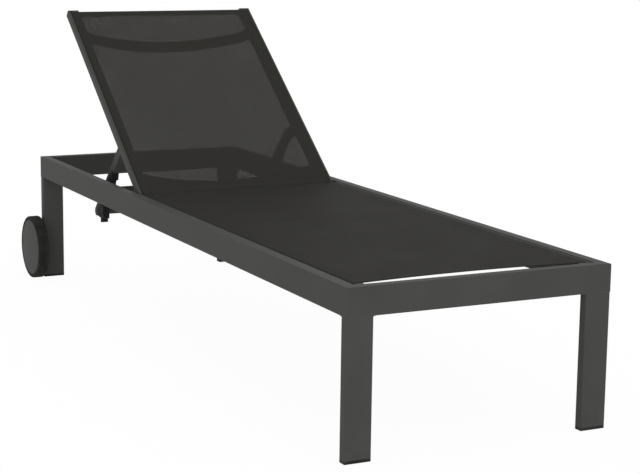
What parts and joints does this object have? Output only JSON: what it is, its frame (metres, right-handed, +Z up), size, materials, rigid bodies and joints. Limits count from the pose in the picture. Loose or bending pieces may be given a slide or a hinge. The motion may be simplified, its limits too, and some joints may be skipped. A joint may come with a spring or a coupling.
{
  "type": "sun lounger",
  "caption": "Reclining sun lounger: mitred tube frame on legs and wheels, mesh seat sling, and a mesh backrest propped by notched support arms.",
  "frame": {"origin": "on the floor under the middle of the overall box", "axes": "+X to the foot end, +Y to the right-hand side seen from the head end, +Z up"},
  "size_m": [2.029, 0.698, 0.7835],
  "materials": {
    "frame_coat": "matt powder coat",
    "mesh": "coated textile mesh",
    "spline": "matt",
    "black_plastic": "matt",
    "hub_plastic": "matt",
    "cap_plastic": "satin",
    "tyre": "matt",
    "steel": "zinc plated"
  },
  "bodies": {
    "frame": {"side_rail_left": "frame_coat", "side_rail_right": "frame_coat", "foot_rail": "frame_coat", "head_rail": "frame_coat", "leg_front_left": "frame_coat", "foot_front_left": "black_plastic", "leg_front_right": "frame_coat", "foot_front_right": "black_plastic", "leg_rear_left": "frame_coat", "foot_rear_left": "black_plastic", "leg_rear_right": "frame_coat", "foot_rear_right": "black_plastic", "seat_rail_left": "frame_coat", "seat_rail_right": "frame_coat", "seat_crossbar_front": "frame_coat", "seat_crossbar_rear": "frame_coat", "seat_sling": "mesh", "seat_spline_left": "spline", "seat_spline_right": "spline", "seat_rail_screws": "steel", "pivot_bolts": "steel", "pivot_nuts": "steel", "pivot_washers": "black_plastic", "rest_bar": "frame_coat", "axle_bolts": "steel", "axle_spacers": "black_plastic", "axle_nuts": "steel"},
    "backrest": {"back_upright_left": "frame_coat", "back_upright_right": "frame_coat", "upright_cap_left": "black_plastic", "upright_cap_right": "black_plastic", "upright_plug_left": "black_plastic", "upright_plug_right": "black_plastic", "back_crossbar_low": "frame_coat", "back_crossbar_high": "frame_coat", "back_sling": "mesh", "back_spline_left": "spline", "back_spline_right": "spline", "arm_lug_left": "frame_coat", "arm_lug_right": "frame_coat", "arm_bolts": "steel", "arm_nuts": "steel"},
    "support": {"support_arm_left": "frame_coat", "support_arm_right": "frame_coat", "notched_strip_left": "black_plastic", "notched_strip_right": "black_plastic", "arm_tie": "frame_coat", "rack_screws": "steel"},
    "wheel_left": {"tyre_left": "tyre", "wheel_hub_left": "hub_plastic", "wheel_cap_left": "cap_plastic"},
    "wheel_right": {"tyre_right": "tyre", "wheel_hub_right": "hub_plastic", "wheel_cap_right": "cap_plastic"}
  },
  "joints": [
    {"name": "recline", "type": "hinge", "parent": "frame", "child": "backrest", "pos_m": [-0.2065, 0, 0.341], "axis": [0, -1, 0], "range_deg": [0, 33.5]},
    {"name": "arm_swing", "type": "hinge", "parent": "backrest", "child": "support", "pos_m": [-0.40398, 0, 0.46153], "axis": [0, -1, 0], "range_deg": [-84, 0]},
    {"name": "wheel_left_spin", "type": "hinge", "parent": "frame", "child": "wheel_left", "pos_m": [-0.9245, -0.3315, 0.09], "axis": [0, 1, 0], "continuous": true},
    {"name": "wheel_right_spin", "type": "hinge", "parent": "frame", "child": "wheel_right", "pos_m": [-0.9245, 0.3315, 0.09], "axis": [0, 1, 0], "continuous": true}
  ],
  "couplings": [
    {"joint": "arm_swing", "follows": "recline", "ratio": -2.48}
  ]
}
